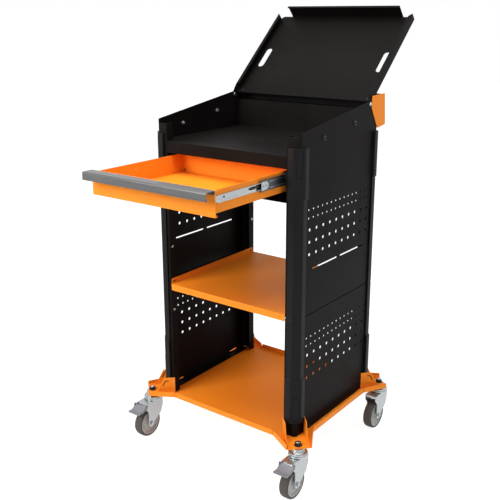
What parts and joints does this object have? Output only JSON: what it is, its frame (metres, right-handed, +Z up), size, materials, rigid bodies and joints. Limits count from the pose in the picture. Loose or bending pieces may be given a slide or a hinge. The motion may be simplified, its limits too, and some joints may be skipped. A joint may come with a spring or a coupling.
{
  "type": "diagnostic trolley",
  "caption": "Sheet-metal diagnostic trolley on swivel casters, with perforated sides, an open shelf, a drawer on slides and a hinged lid over its top compartment.",
  "frame": {"origin": "on the floor, under the middle of the whole outline with the drawer out and the lid open", "axes": "+Z up, -Y towards the front where the drawer opens, +X to the right for someone behind the trolley's front looking from the drawer towards the lid"},
  "size_m": [0.69, 1.0604, 1.4579],
  "materials": {
    "orange_powder_coat": "satin powder coat",
    "black_powder_coat": "fine-textured powder coat",
    "guard_plastic": "moulded matt",
    "zinc_plate": "bright zinc plate",
    "dark_slide_steel": "dark plated",
    "brushed_aluminium": "brushed and anodised",
    "pedal_grey": "satin grey",
    "rim_grey_plastic": "moulded satin",
    "grey_rubber": "matt",
    "blackened_steel": "blackened"
  },
  "bodies": {
    "cabinet": {"base_pan": "orange_powder_coat", "middle_shelf": "orange_powder_coat", "worktop": "black_powder_coat", "drawer_bay": "black_powder_coat", "back_panel": "black_powder_coat", "rear_trough": "black_powder_coat", "side_panel_lower_left": "black_powder_coat", "side_panel_upper_left": "black_powder_coat", "lid_pivot_left": "zinc_plate", "trough_end_plate_left": "orange_powder_coat", "slide_outer_left": "dark_slide_steel", "side_panel_lower_right": "black_powder_coat", "side_panel_upper_right": "black_powder_coat", "lid_pivot_right": "zinc_plate", "trough_end_plate_right": "orange_powder_coat", "slide_outer_right": "dark_slide_steel", "corner_bracket_front_left": "orange_powder_coat", "corner_guard_front_left": "guard_plastic", "caster_raceway_front_left": "zinc_plate", "caster_nut_front_left": "blackened_steel", "corner_bracket_front_right": "orange_powder_coat", "corner_guard_front_right": "guard_plastic", "caster_raceway_front_right": "zinc_plate", "caster_nut_front_right": "blackened_steel", "corner_bracket_rear_left": "orange_powder_coat", "corner_guard_rear_left": "guard_plastic", "caster_raceway_rear_left": "zinc_plate", "caster_nut_rear_left": "blackened_steel", "corner_bracket_rear_right": "orange_powder_coat", "corner_guard_rear_right": "guard_plastic", "caster_raceway_rear_right": "zinc_plate", "caster_nut_rear_right": "blackened_steel"},
    "lid": {"lid": "black_powder_coat"},
    "drawer": {"drawer_box": "orange_powder_coat", "drawer_front": "orange_powder_coat", "drawer_handle": "brushed_aluminium", "slide_inner_left": "zinc_plate", "slide_inner_right": "zinc_plate"},
    "slide_middles": {"slide_middle_left": "dark_slide_steel", "slide_middle_right": "dark_slide_steel"},
    "fork_front_left": {"caster_fork_front_left": "zinc_plate", "caster_axle_front_left": "zinc_plate", "pedal_pin_front_left": "zinc_plate"},
    "wheel_front_left": {"caster_rim_front_left": "rim_grey_plastic", "caster_tyre_front_left": "grey_rubber"},
    "pedal_front_left": {"brake_pedal_front_left": "pedal_grey"},
    "fork_front_right": {"caster_fork_front_right": "zinc_plate", "caster_axle_front_right": "zinc_plate", "pedal_pin_front_right": "zinc_plate"},
    "wheel_front_right": {"caster_rim_front_right": "rim_grey_plastic", "caster_tyre_front_right": "grey_rubber"},
    "pedal_front_right": {"brake_pedal_front_right": "pedal_grey"},
    "fork_rear_left": {"caster_fork_rear_left": "zinc_plate", "caster_axle_rear_left": "zinc_plate"},
    "wheel_rear_left": {"caster_rim_rear_left": "rim_grey_plastic", "caster_tyre_rear_left": "grey_rubber"},
    "fork_rear_right": {"caster_fork_rear_right": "zinc_plate", "caster_axle_rear_right": "zinc_plate"},
    "wheel_rear_right": {"caster_rim_rear_right": "rim_grey_plastic", "caster_tyre_rear_right": "grey_rubber"}
  },
  "joints": [
    {"name": "lid_hinge", "type": "hinge", "parent": "cabinet", "child": "lid", "pos_m": [0, 0.22707, 1.156], "axis": [1, 0, 0], "range_deg": [0, 146]},
    {"name": "drawer_slide", "type": "slide", "parent": "cabinet", "child": "drawer", "axis": [0, -1, 0], "range_m": [-0.318, 0.032]},
    {"name": "middle_slide", "type": "slide", "parent": "cabinet", "child": "slide_middles", "axis": [0, -1, 0], "range_m": [-0.159, 0.016]},
    {"name": "swivel_front_left", "type": "hinge", "parent": "cabinet", "child": "fork_front_left", "pos_m": [-0.306, -0.20593, 0.1304], "axis": [0, 0, 1], "continuous": true},
    {"name": "roll_front_left", "type": "hinge", "parent": "fork_front_left", "child": "wheel_front_left", "pos_m": [-0.306, -0.23793, 0.05], "axis": [1, 0, 0], "continuous": true},
    {"name": "brake_front_left", "type": "hinge", "parent": "fork_front_left", "child": "pedal_front_left", "pos_m": [-0.306, -0.25693, 0.1204], "axis": [1, 0, 0], "range_deg": [0, 10]},
    {"name": "swivel_front_right", "type": "hinge", "parent": "cabinet", "child": "fork_front_right", "pos_m": [0.306, -0.20593, 0.1304], "axis": [0, 0, 1], "continuous": true},
    {"name": "roll_front_right", "type": "hinge", "parent": "fork_front_right", "child": "wheel_front_right", "pos_m": [0.306, -0.23793, 0.05], "axis": [1, 0, 0], "continuous": true},
    {"name": "brake_front_right", "type": "hinge", "parent": "fork_front_right", "child": "pedal_front_right", "pos_m": [0.306, -0.25693, 0.1204], "axis": [1, 0, 0], "range_deg": [0, 10]},
    {"name": "swivel_rear_left", "type": "hinge", "parent": "cabinet", "child": "fork_rear_left", "pos_m": [-0.306, 0.31807, 0.1304], "axis": [0, 0, 1], "continuous": true},
    {"name": "roll_rear_left", "type": "hinge", "parent": "fork_rear_left", "child": "wheel_rear_left", "pos_m": [-0.306, 0.28607, 0.05], "axis": [1, 0, 0], "continuous": true},
    {"name": "swivel_rear_right", "type": "hinge", "parent": "cabinet", "child": "fork_rear_right", "pos_m": [0.306, 0.31807, 0.1304], "axis": [0, 0, 1], "continuous": true},
    {"name": "roll_rear_right", "type": "hinge", "parent": "fork_rear_right", "child": "wheel_rear_right", "pos_m": [0.306, 0.28607, 0.05], "axis": [1, 0, 0], "continuous": true}
  ],
  "couplings": [
    {"joint": "middle_slide", "follows": "drawer_slide", "ratio": 0.5}
  ]
}
